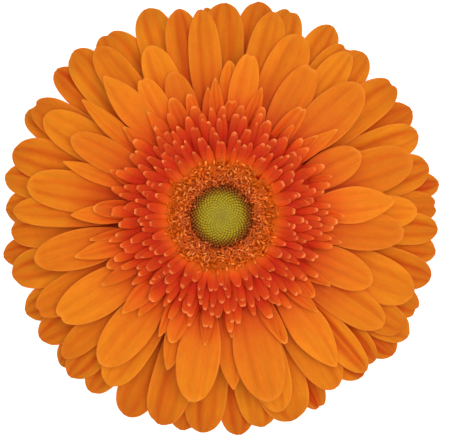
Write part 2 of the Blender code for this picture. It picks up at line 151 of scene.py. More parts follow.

# Each strap: azimuth anticlockwise from +X, reach of its tip from the axis, greatest width and, if it isn't
# round, the kind of its tip. A row goes from its hindmost straps to its foremost.
ROUND, NOTCHED, POINTED = "round", "notched", "pointed"
BACK_RAYS = (
    (60.0, 55.9, 9.0), (8.8, 55.8, 8.0), (29.5, 55.3, 9.5), (334.5, 55.2, 9.5, NOTCHED),
    (321.5, 55.9, 10.0), (297.0, 54.8, 8.0, NOTCHED), (274.5, 55.6, 9.5), (259.5, 55.2, 9.0),
    (244.3, 56.1, 10.5), (222.5, 55.6, 9.5), (206.0, 55.3, 9.5), (190.0, 56.2, 8.5), (177.5, 54.7, 10.0),
    (152.0, 56.1, 9.5), (138.5, 56.0, 8.5), (122.3, 55.0, 12.0, NOTCHED), (95.0, 53.3, 7.5, NOTCHED),
    (79.5, 55.3, 10.0), (48.5, 55.0, 10.0), (350.5, 55.1, 8.5), (169.5, 55.8, 9.0),
    (71.5, 55.3, 10.0, NOTCHED), (53.5, 53.5, 9.5, NOTCHED), (23.0, 54.0, 9.5), (2.5, 54.7, 9.0, NOTCHED),
    (327.5, 56.2, 9.5), (316.5, 53.3, 8.0), (281.0, 54.4, 10.0), (233.0, 55.5, 9.0), (214.0, 55.4, 9.5),
    (149.0, 55.5, 9.5, NOTCHED), (110.0, 56.0, 10.0), (37.5, 55.2, 10.0, NOTCHED), (13.5, 54.0, 10.0),
    (356.3, 54.9, 8.5), (343.5, 55.2, 9.5), (328.0, 54.0, 9.0), (311.0, 53.9, 10.5), (289.5, 54.8, 12.7),
    (265.0, 55.0, 10.5), (253.5, 55.0, 10.5), (226.5, 55.9, 9.0), (195.5, 55.1, 10.5), (184.0, 53.4, 9.5),
    (162.5, 55.3, 10.5), (132.0, 56.2, 10.0), (89.5, 54.1, 10.5),
)
MIDDLE_RAYS = (
    (102.0, 53.6, 9.5), (304.0, 52.1, 11.0), (75.5, 53.4, 9.2), (52.0, 52.5, 8.4), (126.5, 53.2, 8.8),
    (221.5, 53.6, 7.6), (178.5, 52.7, 8.0), (1.5, 49.5, 9.0), (338.0, 52.4, 11.9), (313.0, 53.5, 8.0),
    (207.0, 52.5, 9.6, NOTCHED), (95.5, 52.3, 8.1), (170.5, 49.7, 10.1), (150.5, 51.5, 10.0),
    (236.0, 51.3, 10.3), (287.0, 51.5, 10.0), (66.5, 50.0, 10.5), (17.0, 50.3, 11.4), (326.0, 49.3, 9.5),
    (113.0, 46.7, 8.7),
)
FRONT_RAYS = (
    (354.8, 46.2, 9.6), (274.0, 43.7, 7.0, POINTED), (250.5, 41.0, 6.5, POINTED),
    (161.0, 42.2, 5.0, POINTED), (140.0, 45.8, 6.0, POINTED), (109.0, 38.5, 7.5), (87.0, 39.3, 5.0),
    (59.0, 44.3, 9.1, NOTCHED), (336.0, 41.5, 9.5), (307.5, 47.7, 9.6, POINTED), (193.0, 48.4, 10.0),
    (24.5, 38.5, 8.1), (5.0, 43.8, 9.4, POINTED), (43.0, 48.3, 11.6), (80.0, 41.7, 7.3, NOTCHED),
    (120.0, 40.3, 6.8, NOTCHED), (130.0, 46.1, 9.0, POINTED), (152.0, 42.8, 8.0),
    (179.5, 37.9, 5.8, POINTED), (212.0, 48.5, 11.3, NOTCHED), (231.0, 48.2, 11.0), (261.0, 47.3, 11.0),
    (285.0, 48.2, 12.3),
)
SHORT_RAYS = (
    (53.0, 34.4, 5.0, NOTCHED), (37.0, 36.5, 4.0, POINTED), (113.0, 32.3, 4.5), (105.0, 31.8, 3.5),
    (96.0, 32.7, 3.5, POINTED), (85.0, 29.5, 4.5, NOTCHED), (176.5, 32.3, 4.5),
    (195.5, 38.3, 5.0, POINTED), (203.6, 31.5, 4.0), (224.3, 34.9, 5.0, POINTED), (248.0, 34.2, 5.0),
    (297.0, 35.8, 4.0), (319.0, 30.8, 4.5),
)
MORE_SHORT_RAYS = 21  # narrow ones between those of the table
MORE_SHORT_REACH = (29.5, 35.0)
MORE_SHORT_WIDTH = (3.0, 4.2)
CREASED = (8.8, 102.0, 138.5, 297.0, 311.0, 313.0, 316.5, 321.5)  # azimuths of deep grooves
# Front petals that are wider or slimmer in the photograph: azimuth and share of the table's width
WIDTH_SHARES = {24.5: 1.15, 130.0: 0.88, 140.0: 0.8, 161.0: 0.86, 179.5: 0.84, 354.8: 1.07}

# Trans florets: short tongues on a low dome, shingled in a spiral from the rim inwards
TRANS_COUNT = 126
TRANS_RIM_RADIUS = 29.5
TRANS_INNER_RADIUS = 15.0
TRANS_RIM_HEIGHT = 22.9
TRANS_TOP_HEIGHT = 27.2
TRANS_DOME_POWER = 1.15
TRANS_CROWDING = 0.95
TRANS_RADIUS_STRAY = 0.7
TRANS_AZIMUTH_STRAY = math.radians(2)
TRANS_WIDTH_STRAY = 0.1
TRANS_REACH = (8.5, 6.4)  # of a tongue, at the rim and at the disc
TRANS_WIDTH = (3.3, 2.8)
TRANS_ARCH = 0.35
TRANS_CORE_BELOW = 1.6  # how far the head lies under the dome of tips
TRANS_CORE_BOTTOM = 22.05
TRANS_CORE_TOP = 25.85
TRANS_CORE_RADII = (24.0, 20.0, 16.8, 15.2)
TRANS_UNDERSIDE_RADIUS = 22.9
DISC_SEAT = 25.1
DISC_SEAT_RADIUS = 13.25
TRANS_SUNK = 0.4
TONGUE_ROOT_RADIUS = 12.7
TONGUE_ROOT_RISE = 0.75  # of the innermost roots, over the disc's edge
TONGUE_DEPTH = 0.4
TONGUE_CROWN = 0.7
TONGUE_STATIONS = (0.0, 0.15, 0.3, 0.45, 0.58, 0.69, 0.78, 0.86, 0.93)
TONGUE_ROOT_SHARE = 0.75  # of the width
TONGUE_STRAY = 0.22  # of the width
TONGUE_TIP_END = 0.985
TONGUE_TIP_POWER = 2.2
TONGUE_LOBES = (2, 3)
TONGUE_RIPPLE = 0.06
TONGUE_EDGE_THINNING = 0.45
TONGUE_TIP_THINNING = 0.7
TONGUE_RANGES = (  # for each tongue
    (0.1, 0.5),  # cut between the lobes of the lip, as a share of its turn
    (-0.15, 0.15),  # roll
    (0.0, 0.8),  # share of the crown left at the tip
    (-0.16, 0.16),  # yaw
    (0.25, 0.9),  # paleness of the tip, partly a painted highlight
    (0.3, 0.6),  # taper
    (1.1, 2.4),  # from the tip, where the sides start to close
)
TONGUE_SIDE_HIGHLIGHT = 0.15
TONGUE_SHADE_RADII = (14.5, 17.5)  # where the darker red at the roots sets in: painted shade under the tips further in, and partly the roots' own deeper red
TONGUE_INNER_RADIUS = 17.3  # of the innermost tips
LIP_STATIONS = 8
TONGUE_COLUMNS = 11
LIP_RADIUS = 0.6
LIP_TURNS = (10, 75)
BETWEEN_TONGUES = 126  # more tongues of the same spiral, lower down, that close the gaps
BETWEEN_LOWER = 0.4
TURNED_SIDES = 72

# Disc: open florets round a cap of buds
DISC_BASE_RADIUS = 12.9
DISC_BASE_EDGE = 0.75
DISC_BASE_RISE = 0.15
OPEN_FLORETS = 174  # nearly three times as many as the part's, and narrower
FLORET_RING = (8.1, 12.85)
FLORET_CROWDING = 1.15  # above 1, more of them near the buds
FLORET_STRAY = 0.45
DISC_BASE_TOP_RADIUS = 8.9
FLORET_RANGES = (  # for each open floret
    (-0.15, 0.15),  # stray of the foot's height
    (-0.45, 0.45),  # stray of the lean
    (-0.5, 0.5),  # stray of the tone
    (0.2, 1.0),  # how maroon it is at the buds
    (-0.3, 0.5),  # stray of how golden it is
    (0.0, 2 * math.pi),  # turn of its first lobe
)
MAROON_ZONE = (0.03, 0.26)  # of the ring, where the maroon near the buds fades
TUBE_PROFILE = ((0.34, 0.0), (0.42, 0.7), (0.58, 1.15), (0.4, 1.0), (0.05, 0.6))
TUBE_SIDES = 10
LOBES = (3, 4, 4, 5)
LOBE_RANGES = (  # for each lobe
    (1.0, 2.1),  # length
    (30, 85),  # rise at its root, in degrees
    (60, 210),  # how far it curls back from there
    (0.75, 1.15),  # share of the width
    (-1.0, 1.0),  # twist
    (0.15, 0.95),  # paleness, partly a painted highlight on the crest of the curl
)
LOBE_TURN_STRAY = 0.35
LOBE_SUNK = 0.08  # into the mouth of the tube
LOBE_SAG = 0.18
LOBE_WIDTH = 0.58
LOBE_DEPTH = 0.24
LOBE_LIT = (0.35, 0.9)  # where along a lobe its maroon fades
LOBE_STATIONS = 8
LOBE_COLUMNS = 5
BUDS = 430
BUD_CAP_RADIUS = 7.9
BUD_CAP_BOTTOM = 26.6
BUD_CAP_EDGE = 0.35
BUD_CAP_RISE = 0.6
BUD_CAP_RADII = (7.9, 6.5, 5, 3.5, 2, 0.6)
BUD_SUNK = 0.05
BUD_SPIRAL_POWER = 0.52
BUD_HEIGHTS = (0.05, 0.45)
BUD_SHARE = 0.98  # of the space that each bud has
BUD_SIDES = 10
BUD_RANGES = ((0.85, 1.15), (-0.07, 0.07), (-1, 1), (0, math.pi))  # of the rise, stray, tone and turn
BUD_EDGE_ROOM = 0.35
FIRST_BUD_SPACE = 0.3
BUD_PROFILE = ((1.1, 0.0), (1.0, 0.35), (0.8, 0.7), (0.45, 0.93), (0.12, 1.0))  # as shares of its size
BUD_LOBES = 5
BUD_LOBE_DEPTH = 0.14

# Disc florets, at the buds and at the rim
DISC_BASE_PALENESS = (0.1, 0.5)
# darker inwards: painted shade between the florets, and the maroon near the buds
DISC_BASE_SHADES = (0.8, 0.2)
FLORET_FEET = (25.95, 25.75)  # height
FLORET_LEANS = (-0.35, 0.45)  # radians
FLORET_TONES = (-0.2, -0.14)
STRAY_GROWTH = (0.7, 1.8)
LOBE_GROWTH = (0.8, 1.25)
LOBE_FADING = (1.0, 0.85)

# Colours; a stop of a ramp begins with its place
PETAL_STOPS = (
    (0.0, 172, 146, 60), (0.12, 198, 54, 10), (0.25, 206, 62, 11), (0.36, 212, 91, 16),
    (0.45, 212, 110, 18), (0.62, 211, 118, 19), (0.88, 207, 121, 18), (1.0, 187, 107, 17),
)
PETAL_MOTTLE = (206, 88, 10)
PETAL_DEEP_TONE = (204, 78, 10)
# painted shade of grooves, creases and the ruff, and also a red row's own redness
PETAL_SHADE = (198, 54, 8)
# painted shade in the crevices between petals
PETAL_CREVICE_SHADE = (208, 62, 8)
PETAL_PALE_TIP_AND_RIM_HIGHLIGHT = (240, 150, 58)
PETAL_UNDERSIDE = (218, 136, 44)
PETAL_UNDER_ROOT = (168, 158, 62)
TONGUE_STOPS = (
    (0.0, 216, 96, 17), (0.14, 206, 72, 13), (0.3, 185, 47, 9), (0.7, 193, 62, 10),
    (1.0, 212, 96, 14),
)
TONGUE_SHADE = (176, 26, 6)
TONGUE_PALE_TIP_AND_HIGHLIGHT = (242, 136, 72)
DISC_STOPS = ((0.0, 168, 52, 4), (0.3, 200, 78, 9), (0.65, 226, 110, 32), (1.0, 250, 170, 92))
DISC_PINK = (242, 136, 84)
BUD_STOPS = (
    (0.0, 130, 110, 31), (0.35, 152, 134, 31), (0.66, 162, 136, 22), (0.76, 146, 106, 16),
    (0.86, 134, 72, 12), (1.0, 150, 66, 20),
)
BUD_TOP = (196, 178, 70)
BRACT_STOPS = ((0.0, 140, 158, 92), (0.3, 96, 124, 58), (0.75, 96, 124, 58), (1.0, 92, 60, 44))
STEM_STOPS = ((0.0, 122, 146, 76), (0.3, 122, 146, 76), (0.75, 122, 146, 76), (1.0, 176, 190, 118))
DOWN_COLOUR = (206, 214, 168)  # of the fine hairs on green
FLOOR_COLOUR = (200, 200, 200)
ORANGE_GLOW = (1.0, 0.35, 0.1)  # how deep red, green and blue light goes, as shares of the depth
GREEN_GLOW = (0.4, 0.8, 0.1)
GLOW_DEPTH = 0.6
NOISE_SPAN = (0.3, 0.7)  # that most of a noise's values are in

# Camera and light
PIXEL = 0.2532  # millimetres on the object to a pixel of the photograph
IMAGE_SIZE = (450, 443)
AXIS_PIXEL = (221.5, 216.5)
LENS = 600
SENSOR = 36
FOCUS_HEIGHT = 3.0
FLOOR_GLOW = 0.8  # so that the floor stays white under the petals
FLOOR_HALF_M = 1.5
LAMP_AT_M = (0.2, 0.12, 1.6)
LAMP_SIZE_M = 0.9
LAMP_POWER = 15.2
SURROUNDING_LIGHT = 0.85


class Row(NamedTuple):
    """The rays of one row and what sets them apart from the others."""

    rays: tuple
    levels: tuple
    bluntness: float  # of the tips, as the power of their curve
    waist: float  # how long the slim part near the root is, as the power of its curve
    grooving: float  # depth of the grooves, as a share of the usual
    shade: float  # of the painted shade, redder, near the ruff
    fullness: float = 1.0  # of the width, as a share of the table's
    widest: float = WIDEST_AT
    redness: float = 0.0
    paleness: float = 0.0  # of the tips


def between(start, end, share):
    return start + (end - start) * share


def smooth(low, high, value):
    """From 0 below low to 1 above high, with a soft start and end."""
    share = min(1.0, max(0.0, (value - low) / (high - low)))
    return share * share * (3 - 2 * share)


def bell(value, centre, width):
    return math.exp(-(((value - centre) / width) ** 2))


def placed(radius, height, azimuth, aside=0.0):
    """A point in millimetres from its distance from the axis, height, azimuth and distance to one side."""
    across, along = math.cos(azimuth), math.sin(azimuth)
    return Vector((radius * across - aside * along, radius * along + aside * across, height))


def evenly(count, start=-1.0, end=1.0):
    return [between(start, end, step / (count - 1)) for step in range(count)]


def wave(height, scales, values):
    """A smooth random height, where each value goes through the noise at its own scale."""
    return height * noise.noise(Vector([value * scale for value, scale in zip(values, scales)]))


def closing_in(count, start, end):
    """Places from start to end, ever closer together."""
    return [between(start, end, math.sin(math.pi / 2 * share)) for share in evenly(count, 0.0)]


def drawn(draw, ranges):
    """A random number from each range."""
    return [draw.uniform(*ends) for ends in ranges]


def curve_point(line, share):
    """A place on the smooth curve through a line's points, from 0 at its start to 1 at its end."""
    place = min(share, 0.9999) * (len(line) - 1)
    start = int(place)
    step = place - start
    corners = [line[min(max(start + shift, 0), len(line) - 1)] for shift in (-1, 0, 1, 2)]
    weights = (
        step * (-1 + step * (2 - step)) / 2,
        1 + step * step * (3 * step - 5) / 2,
        step * (1 + step * (4 - 3 * step)) / 2,
        step * step * (step - 1) / 2,
    )
    return [sum(weight * value for weight, value in zip(weights, values)) for values in zip(*corners)]


def linked(name, data):
    """A new object in the scene."""
    obj = bpy.data.objects.new(name, data)
    bpy.context.scene.collection.objects.link(obj)
    return obj


class Piece:
    """The mesh of one piece, with what its material reads at each point.

    place is the point's distance along its floret, its distance to the side and the floret's number;
    look is the floret's tone, how pale the point is, partly a painted highlight, and how dark, mostly
    painted shade; under is 1 on a lower side.
    """

    def __init__(self, name):
        self.name = name
        self.points, self.faces, self.places, self.looks, self.unders = [], [], [], [], []

    def add_points(self, samples, under=0.0):
        """Adds (point, place, look) samples and gives their numbers."""
        first = len(self.points)
        for point, place, look in samples:
            self.points.append(point * MM)
            self.places.append(place)
            self.looks.append(look)
            self.unders.append(under)
        return range(first, len(self.points))

    def add_blade(self, surface, stations, columns):
        """A thin closed blade: surface(station, column) gives its upper point, depth, place and look."""
        grid = [[surface(station, column) for column in columns] for station in stations]
        normals = grid_normals([[sample[0] for sample in line] for line in grid])
        rings = []
        for line, ups in zip(grid, normals):
            upper = self.add_points((point, place, look) for point, _, place, look in line)
            lower = self.add_points(
                ((point - up * depth, place, look) for (point, depth, place, look), up in zip(line, ups)), 1.0
            )
            rings.append((upper, lower))
        for (top, under), (next_top, next_under) in zip(rings, rings[1:]):
            self.faces += zip(top, next_top, next_top[1:], top[1:])
            self.faces += zip(under, under[1:], next_under[1:], next_under)
            self.faces.append((top[0], under[0], next_under[0], next_top[0]))
            self.faces.append((top[-1], next_top[-1], next_under[-1], under[-1]))
        (first_top, first_under), (last_top, last_under) = rings[0], rings[-1]
        self.faces += zip(first_top, first_top[1:], first_under[1:], first_under)
        self.faces += zip(last_under, last_under[1:], last_top[1:], last_top)

    def add_turned(self, profile, sides, sample):
        """A closed body of rings, bottom to top: sample(radius, height, azimuth) gives point, place, look."""
        turns = [2 * math.pi * side / sides for side in range(sides)]
        rings = [self.add_points(sample(*corner, turn) for turn in turns) for corner in profile]
        for near, far in zip(rings, rings[1:]):
            self.faces += zip(near, [*near[1:], near[0]], [*far[1:], far[0]], far)
        self.faces += [tuple(reversed(rings[0])), tuple(rings[-1])]

    def finished(self, node, material):
        """Puts the piece into the scene in place of a node."""
        mesh = bpy.data.meshes.new(self.name)
        mesh.from_pydata([tuple(point) for point in self.points], [], self.faces)
        for name, values in (("place", self.places), ("look", self.looks)):
            layer = mesh.attributes.new(name, "FLOAT_VECTOR", "POINT")
            layer.data.foreach_set("vector", [value for vector in values for value in vector])
        mesh.attributes.new("under", "FLOAT", "POINT").data.foreach_set("value", self.unders)
        mesh.shade_smooth()
        mesh.materials.append(material)
        obj = linked(self.name, mesh)
        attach(obj, "root")
        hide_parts(node)


def grid_normals(grid):
    """The unit normal at each point of a grid of stations and columns."""
    normals = []
    for row, line in enumerate(grid):
        before, after = grid[max(row - 1, 0)], grid[min(row + 1, len(grid) - 1)]
        found = []
        for column in range(len(line)):
            along = after[column] - before[column]
            across = line[min(column + 1, len(line) - 1)] - line[max(column - 1, 0)]
            found.append(along.cross(across).normalized())
        normals.append(found)
    return normals


def linear(value):
    """A colour value from 0 to 255 as the linear one that a shader takes."""
    share = value / 255
    return share / 12.92 if share <= 0.04045 else ((share + 0.055) / 1.055) ** 2.4


def colour(rgb):
    return (*map(linear, rgb), 1.0)


class Finish:
    """Builds the nodes of one procedural material."""

    def __init__(self, name, roughness, specular, subsurface=0.0, glow=ORANGE_GLOW):
        self.material = bpy.data.materials.new(name)
        self.material.use_nodes = True
        self.nodes = self.material.node_tree.nodes
        self.links = self.material.node_tree.links
        self.shader = self.nodes["Principled BSDF"]
        for socket, value in (
            ("Roughness", roughness),
            ("Specular IOR Level", specular),
            ("Subsurface Weight", subsurface),
            ("Subsurface Radius", glow),
            ("Subsurface Scale", GLOW_DEPTH * MM),
        ):
            self.shader.inputs[socket].default_value = value

    def node(self, kind, inputs, output=0, **settings):
        """Adds a node whose inputs take values or other nodes' outputs, and gives one of its outputs."""
        node = self.nodes.new("ShaderNode" + kind)
        for name, value in settings.items():
            setattr(node, name, value)
        for socket, value in inputs.items():
            if isinstance(value, bpy.types.NodeSocket):
                self.links.new(value, node.inputs[socket])
            else:
                node.inputs[socket].default_value = value
        return node.outputs[output]

    def read(self, name):
        """The three values of an attribute."""
        vector = self.node("Attribute", {}, "Vector", attribute_name=name)
        return self.node("SeparateXYZ", {0: vector}).node.outputs

    def maths(self, operation, first, second):
        return self.node("Math", {0: first, 1: second}, operation=operation)

    def product(self, first, *others):
        for other in others:
            first = self.maths("MULTIPLY", first, other)
        return first

    def fitted(self, value, low, high, to_low=0.0, to_high=1.0):
        return self.node("MapRange", {"Value": value, 1: low, 2: high, 3: to_low, 4: to_high})

    def swayed(self, texture, low, high):
        """A factor that a noise moves from low to high."""
        return self.fitted(texture, *NOISE_SPAN, low, high)

    def toned(self, tone, low, high):
        """A factor from low to high for a floret's tone, which is from -1 to 1."""
        return self.fitted(tone, -1.0, 1.0, low, high)

    def dimmed(self, dark, darkest):
        """A factor from 1 where dark is 0 to the darkest where it is 1."""
        return self.fitted(dark, 0.0, 1.0, 1.0, darkest)

    def texture(self, place, scales, detail=2.0):
        """Noise from 0 to 1 on (along, aside, number), with a number of waves a millimetre for each."""
        values = [self.product(value, scale) for value, scale in zip(place, scales)]
        vector = self.node("CombineXYZ", dict(enumerate(values)))
        return self.node("TexNoise", {"Vector": vector, "Scale": 1.0, "Detail": detail})

    def ramp(self, factor, stops):
        """A colour between stops of (place, red, green, blue), the first at 0 and the last at 1."""
        output = self.node("ValToRGB", {0: factor})
        elements = output.node.color_ramp.elements
        first, *inner, last = stops
        elements[0].color = colour(first[1:])
        elements[1].color = colour(last[1:])
        for place, *rgb in inner:
            elements.new(place).color = colour(rgb)
        return output

    def mixed(self, factor, first, second, blend="MIX"):
        """Two colours mixed; a colour given as red, green and blue from 0 to 255 is made linear."""
        first, second = (colour(side) if isinstance(side, tuple) else side for side in (first, second))
        return self.node("Mix", {0: factor, 6: first, 7: second}, 2, data_type="RGBA", blend_type=blend)

    def scaled(self, base, factor):
        """A colour made darker or lighter by a number."""
        grey = self.node("CombineColor", {0: factor, 1: factor, 2: factor})
        return self.mixed(1.0, base, grey, "MULTIPLY")

    def painted(self, base, height, strength, distance):
        """Joins the colour and the relief, in millimetres, to the shader."""
        relief = self.node("Bump", {"Height": height, "Strength": strength, "Distance": distance * MM})
        self.links.new(base, self.shader.inputs["Base Color"])
        self.links.new(relief, self.shader.inputs["Normal"])
        return self.material


def petal_finish():
    """Orange; redder painted shade in grooves, crevices and near the ruff; painted rim highlights; paler
    underneath.
    """
    finish = Finish("ray_petal", roughness=0.55, specular=0.06, subsurface=0.25)
    place = finish.read("place")
    tone, pale, dark = finish.read("look")
    under = finish.node("Attribute", {}, "Fac", attribute_name="under")
    base = finish.ramp(finish.fitted(place[0], 0.0, RIM_RADIUS - ROOT_RADIUS), PETAL_STOPS)
    veins = finish.texture(place, (0.12, 3.2, 5.0))
    streaks = finish.texture(place, (0.05, 0.7, 3.0))
    mottle = finish.texture(place, (0.35, 0.5, 3.0), 3.0)
    grain = finish.texture(place, (0.9, 1.6, 4.0), 4.0)
    light = finish.product(
        finish.swayed(veins, 0.96, 1.04),
        finish.swayed(streaks, 0.93, 1.06),
        finish.swayed(grain, 0.97, 1.03),
        finish.toned(tone, 0.93, 1.05),
        finish.dimmed(dark, 0.86),
    )
    # Painted shade: where occlusion finds petals close over one another, the colour goes towards a dark red
    openness = finish.node("AmbientOcclusion", {"Distance": CREVICE_REACH * MM}, "AO", samples=8)
    hidden = finish.fitted(openness, 0.3, 0.85, 0.6, 0.0)
    crevice_shade = finish.product(hidden, finish.fitted(place[0], 1.0, 6.0), finish.dimmed(under, 0.0))
    base = finish.mixed(finish.fitted(mottle, 0.42, 0.75, 0.0, 0.3), base, PETAL_MOTTLE)
    base = finish.mixed(finish.fitted(tone, -1.0, 0.4, 0.25, 0.0), base, PETAL_DEEP_TONE)
    base = finish.mixed(finish.product(dark, 0.75), base, PETAL_SHADE)
    base = finish.mixed(crevice_shade, base, PETAL_CREVICE_SHADE)
    base = finish.scaled(base, light)
    # pale tips, and a painted highlight along the rims
    base = finish.mixed(pale, base, PETAL_PALE_TIP_AND_RIM_HIGHLIGHT)
    base = finish.mixed(finish.product(under, 0.55), base, PETAL_UNDERSIDE)
    rooted = finish.product(under, finish.fitted(place[0], 2.0, 12.0, 0.8, 0.0))
    base = finish.mixed(rooted, base, PETAL_UNDER_ROOT)
    return finish.painted(base, veins, 0.25, 0.12)


def trans_finish():
    """Red, more orange at the disc and the rim; dark roots are partly painted shade, pale tips partly and
    pale sides wholly painted highlight.
    """
    finish = Finish("trans_tongue", roughness=0.5, specular=0.05, subsurface=0.35)
    place = finish.read("place")
    tone, pale, dark = finish.read("look")
    base = finish.ramp(finish.fitted(place[0], TONGUE_ROOT_RADIUS, TRANS_RIM_RADIUS), TONGUE_STOPS)
    veins = finish.texture(place, (1.5, 3.5, 5.0))
    light = finish.product(finish.swayed(veins, 0.94, 1.06), finish.toned(tone, 0.9, 1.05))
    base = finish.mixed(finish.product(dark, 0.85), base, TONGUE_SHADE)
    # pale tips and sides, partly a painted highlight
    base = finish.mixed(pale, finish.scaled(base, light), TONGUE_PALE_TIP_AND_HIGHLIGHT)
    return finish.painted(base, veins, 0.3, 0.1)


def disc_finish():
    """Orange with pale tips, partly painted highlight, pinker near the buds; painted shade in the tubes'
    mouths and on the base.
    """
    finish = Finish("disc_floret", roughness=0.5, specular=0.03, subsurface=0.2)
    place = finish.read("place")
    tone, pale, dark = finish.read("look")
    base = finish.ramp(pale, DISC_STOPS)
    pinkness = finish.product(finish.fitted(place[1], 0.0, 0.8, 0.55, 0.0), pale)
    base = finish.mixed(pinkness, base, DISC_PINK)
    grain = finish.texture(place, (2.0, 3.0, 5.0))
    light = finish.product(finish.swayed(grain, 0.9, 1.1), finish.toned(tone, 0.8, 1.2))
    light = finish.product(light, finish.dimmed(dark, 0.55))
    return finish.painted(finish.scaled(base, light), grain, 0.3, 0.08)


def bud_finish():
    """Green, and maroon at the edge of the eye, with painted shade at the buds' feet and on the cap between
    them.
    """
    finish = Finish("disc_bud", roughness=0.55, specular=0.08, subsurface=0.1)
    place = finish.read("place")
    tone, pale, dark = finish.read("look")
    base = finish.ramp(finish.fitted(place[0], 0.0, BUD_CAP_RADIUS), BUD_STOPS)
    light = finish.product(finish.dimmed(dark, 0.34), finish.toned(tone, 0.92, 1.07))
    base = finish.mixed(pale, finish.scaled(base, light), BUD_TOP)
    return finish.painted(base, finish.texture(place, (3.0, 3.0, 5.0)), 0.3, 0.06)


def green_finish(name, stops, hairs):
    """Ribbed green with a share of pale hairs, and painted shade on the cup and at the bracts' roots under
    the bracts.
    """
    finish = Finish(name, roughness=0.62, specular=0.3, subsurface=0.05, glow=GREEN_GLOW)
    place = finish.read("place")
    tone, pale, dark = finish.read("look")
    ribs = finish.texture(place, (0.15, 2.6, 4.0))
    down = finish.texture(place, (6.0, 9.0, 4.0), 3.0)
    light = finish.product(finish.swayed(ribs, 0.82, 1.14), finish.toned(tone, 0.86, 1.12))
    light = finish.product(light, finish.dimmed(dark, 0.55))
    base = finish.scaled(finish.ramp(pale, stops), light)
    base = finish.mixed(finish.fitted(down, 0.55, 0.8, 0.0, hairs), base, DOWN_COLOUR)
    relief = finish.maths("ADD", ribs, finish.product(down, 0.6))
    return finish.painted(base, relief, 0.5, 0.15)


def width_share(along, tip, bluntness=TIP_POWER, waist=1.0, widest=WIDEST_AT):
    """How wide a strap is at a place along it, from 0 at the root to 1 at the tip."""
    if along < widest:
        return CLAW_SHARE + (1 - CLAW_SHARE) * math.sin(math.pi / 2 * along / widest) ** waist
    beyond = (along - widest) / (1 - widest)
    if tip == POINTED:
        return max(0.0, 1 - beyond**POINT_POWER) ** POINT_SLIMNESS
    return math.sqrt(max(0.0, 1 - beyond**bluntness))


def sheet_height(level, radius):
    """The upper side of a strap whose root is at this level, at a distance from the axis."""
    out = (radius - ROOT_RADIUS) / (RIM_RADIUS - ROOT_RADIUS)
    lowest, highest = BACK_LEVELS[0], SHORT_LEVELS[-1]
    low = lowest - LOW_SHEET_DROP * max(0.0, out) ** LOW_SHEET_POWER
    high = highest + HIGH_SHEET_RISE * out - HIGH_SHEET_DROP * out**2
    return between(low, high, (level - lowest) / (highest - lowest))


def half_angle(reach, width):
    """Half of the widest angle that a strap fills, seen from the axis."""
    length = reach - ROOT_RADIUS
    halves = []
    for station in MEASURED_AT:
        halves.append(width_share(station, ROUND) * width / 2 / (ROOT_RADIUS + station * length))
    return math.degrees(max(halves))


def stacked(rays, levels):
    """Each strap with its level: the lowest one above all the straps before it that it overlaps."""
    found, ranks = [], []
    for azimuth, reach, width, *kind in rays:
        half = half_angle(reach, width)
        rank = 0
        for other, other_half, other_rank in ranks:
            apart = abs((azimuth - other + 180) % 360 - 180)
            if half + other_half - apart > OVERLAP_IGNORED:
                rank = max(rank, other_rank + 1)
        rank = min(rank, len(levels) - 1)
        ranks.append((azimuth, half, rank))
        found.append((azimuth, reach, width, kind[0] if kind else ROUND, levels[rank]))
    return found


def petal_stations(widest):
    """Even steps along the sides and ever closer ones round the tip."""
    return evenly(SIDE_STATIONS + 1, 0.0, widest)[:-1] + closing_in(TIP_STATIONS, widest, TIP_END)


